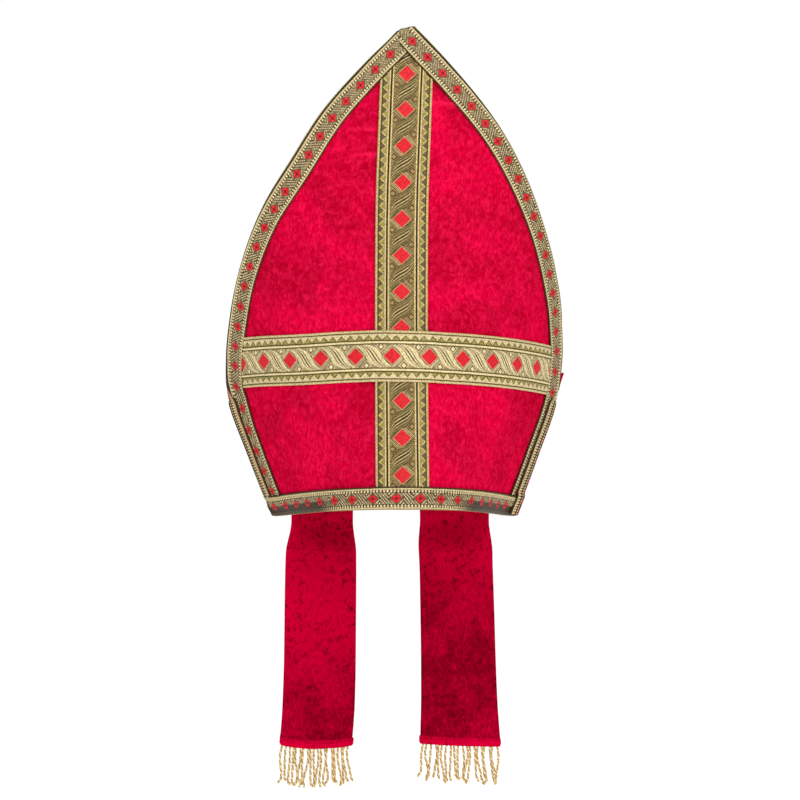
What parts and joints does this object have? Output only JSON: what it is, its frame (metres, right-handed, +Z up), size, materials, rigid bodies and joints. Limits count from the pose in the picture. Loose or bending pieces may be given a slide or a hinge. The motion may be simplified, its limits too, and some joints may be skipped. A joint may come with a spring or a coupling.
{
  "type": "bishop mitre",
  "caption": "Tall folding ceremonial hat of two stiff pointed shields with woven braid bands, a soft gusset between the horns, and hanging fringed lappets.",
  "frame": {"origin": "centre of the head opening, in the plane of the rim's side corners, where the head enters", "axes": "+Z up through the horns, -Y out of the front shield, +X to the right of someone facing the front"},
  "size_m": [0.2596, 0.2134, 0.5673],
  "materials": {
    "velvet": "red crushed velvet, mottled pile",
    "wide_braid": "wide woven braid in gold and cream thread with red diamonds",
    "narrow_braid": "narrow woven braid in gold and cream thread with small red diamonds",
    "fringe": "twisted gold and cream cords"
  },
  "bodies": {
    "root": {"front_panel": "velvet", "back_panel": "velvet", "crown_gusset": "velvet", "vertical_band": "wide_braid", "cross_band": "wide_braid", "front_edge_braid_left": "narrow_braid", "front_edge_braid_right": "narrow_braid", "back_edge_braid_left": "narrow_braid", "back_edge_braid_right": "narrow_braid", "front_rim_braid": "narrow_braid", "back_rim_braid": "narrow_braid", "lappet_left": "velvet", "lappet_right": "velvet", "fringe_left": "fringe", "fringe_right": "fringe"}
  },
  "joints": []
}
